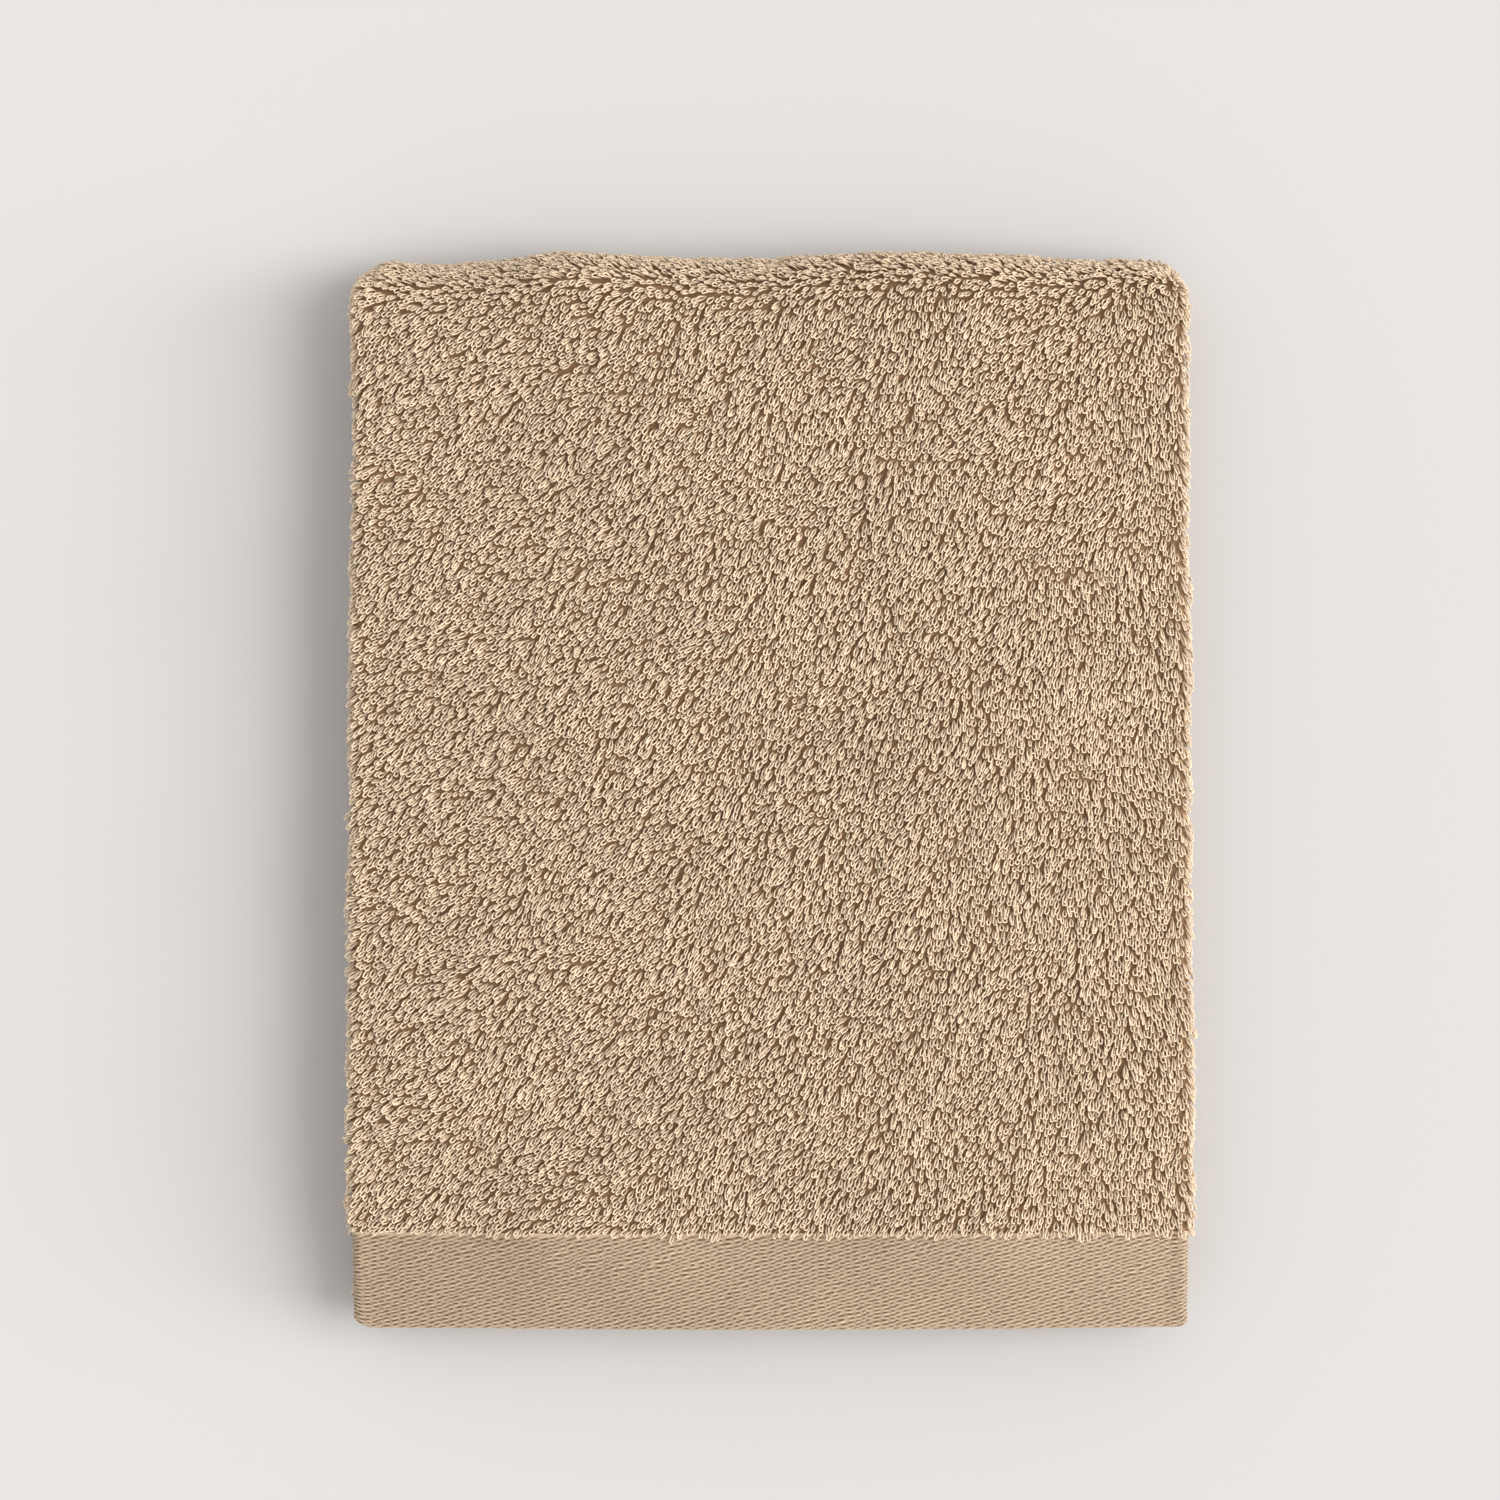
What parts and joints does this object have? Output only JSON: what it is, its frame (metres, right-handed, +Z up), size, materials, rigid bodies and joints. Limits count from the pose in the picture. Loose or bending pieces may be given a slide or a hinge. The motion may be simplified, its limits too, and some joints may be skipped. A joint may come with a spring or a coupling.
{
  "type": "folded bath towel",
  "caption": "Terry bath towel folded into a flat rectangular stack, with a flat woven border along the hem on top.",
  "frame": {"origin": "middle of the underside, at the lowest point of the folded towel", "axes": "+Z up, +X to the right across the towel, +Y along the towel from the woven border to the outer end fold"},
  "size_m": [0.28, 0.356, 0.04],
  "materials": {
    "terry": "cotton terry, looped pile, warm sand",
    "woven_border": "cotton twill, flat woven, slight sheen",
    "side_hem": "cotton, turned and stitched"
  },
  "bodies": {
    "root": {"bottom_leaf_face": "terry", "bottom_leaf_left_flap": "terry", "bottom_leaf_left_fold": "terry", "bottom_leaf_left_side_hem": "side_hem", "bottom_leaf_right_flap": "terry", "bottom_leaf_right_fold": "terry", "bottom_leaf_right_side_hem": "side_hem", "inner_end_fold": "terry", "lower_end_fold": "terry", "outer_end_fold": "terry", "second_border_face": "woven_border", "second_border_left_flap": "woven_border", "second_border_left_fold": "woven_border", "second_border_right_flap": "woven_border", "second_border_right_fold": "woven_border", "second_leaf_face": "terry", "second_leaf_left_flap": "terry", "second_leaf_left_fold": "terry", "second_leaf_left_side_hem": "side_hem", "second_leaf_right_flap": "terry", "second_leaf_right_fold": "terry", "second_leaf_right_side_hem": "side_hem", "third_leaf_face": "terry", "third_leaf_left_flap": "terry", "third_leaf_left_fold": "terry", "third_leaf_left_side_hem": "side_hem", "third_leaf_right_flap": "terry", "third_leaf_right_fold": "terry", "third_leaf_right_side_hem": "side_hem", "top_border_face": "woven_border", "top_border_left_flap": "woven_border", "top_border_left_fold": "woven_border", "top_border_right_flap": "woven_border", "top_border_right_fold": "woven_border", "top_leaf_face": "terry", "top_leaf_left_flap": "terry", "top_leaf_left_fold": "terry", "top_leaf_left_side_hem": "side_hem", "top_leaf_right_flap": "terry", "top_leaf_right_fold": "terry", "top_leaf_right_side_hem": "side_hem"}
  },
  "joints": []
}
